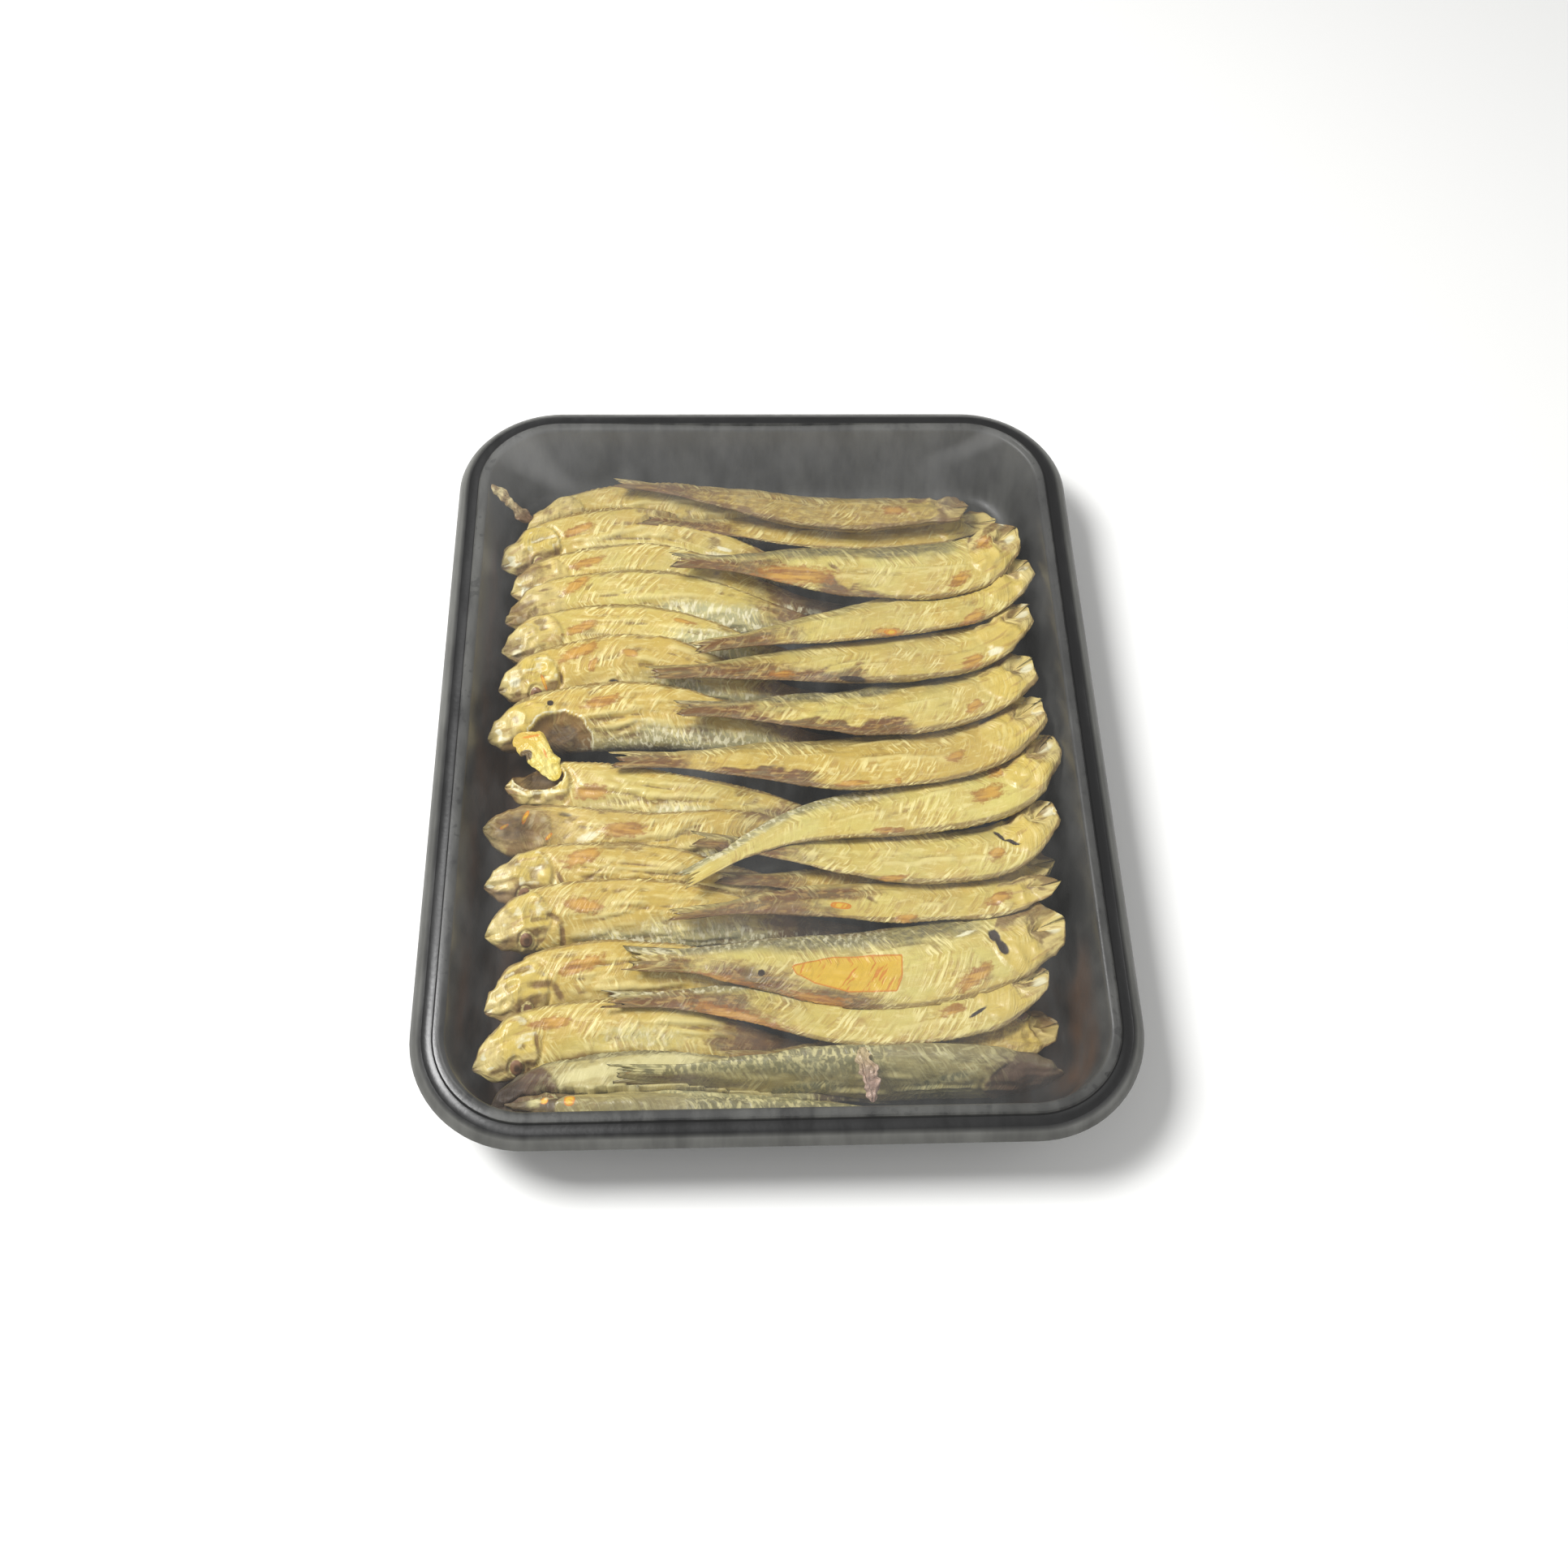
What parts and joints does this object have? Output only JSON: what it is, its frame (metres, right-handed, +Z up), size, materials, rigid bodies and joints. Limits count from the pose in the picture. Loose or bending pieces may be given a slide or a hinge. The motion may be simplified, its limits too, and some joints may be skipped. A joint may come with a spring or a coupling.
{
  "type": "sealed tray of smoked sprats",
  "caption": "Black rounded tray under clear film, with whole smoked fish shingled in two columns, heads to the sides.",
  "frame": {"origin": "centre of the tray's outline, on the surface that the tray stands on", "axes": "+Z up out of the film, +Y along the tray's long side to the back, +X to the right"},
  "size_m": [0.1778, 0.226, 0.0254],
  "materials": {
    "tray_black": "black thermoformed plastic, satin, lighter on its worn lip",
    "film_clear": "clear lidding film, a little hazy, wrinkled in the corners",
    "skin_golden": "smoked skin, golden flanks, brown stains, oily sheen",
    "skin_grey": "smoked skin seen from the back, grey-blue and olive, oily sheen",
    "skin_brown": "torn smoked skin, brown",
    "flesh_pink": "torn flesh, dull pink"
  },
  "bodies": {
    "root": {"tray": "tray_black", "lid_film": "film_clear", "gill_cover": "skin_golden", "flesh_scrap": "flesh_pink", "corner_scrap": "skin_brown", "fish_r03": "skin_golden", "fish_r01": "skin_golden", "fish_r02": "skin_golden", "fish_r04": "skin_golden", "fish_r05": "skin_golden", "fish_r06": "skin_golden", "fish_r07": "skin_golden", "fish_r08": "skin_golden", "fish_r09": "skin_golden", "fish_r10": "skin_golden", "fish_r11": "skin_golden", "fish_r12": "skin_golden", "fish_b01": "skin_grey", "fish_b02": "skin_grey", "fish_r13": "skin_golden", "fish_r14": "skin_golden", "fish_l14": "skin_golden", "fish_l13": "skin_golden", "fish_l12": "skin_golden", "fish_l11": "skin_golden", "fish_l10": "skin_golden", "fish_l09": "skin_golden", "fish_l08": "skin_golden", "fish_l07": "skin_golden", "fish_l06": "skin_golden", "fish_l05": "skin_golden", "fish_l04": "skin_golden", "fish_l03": "skin_golden", "fish_l02": "skin_golden", "fish_l01": "skin_golden"}
  },
  "joints": []
}
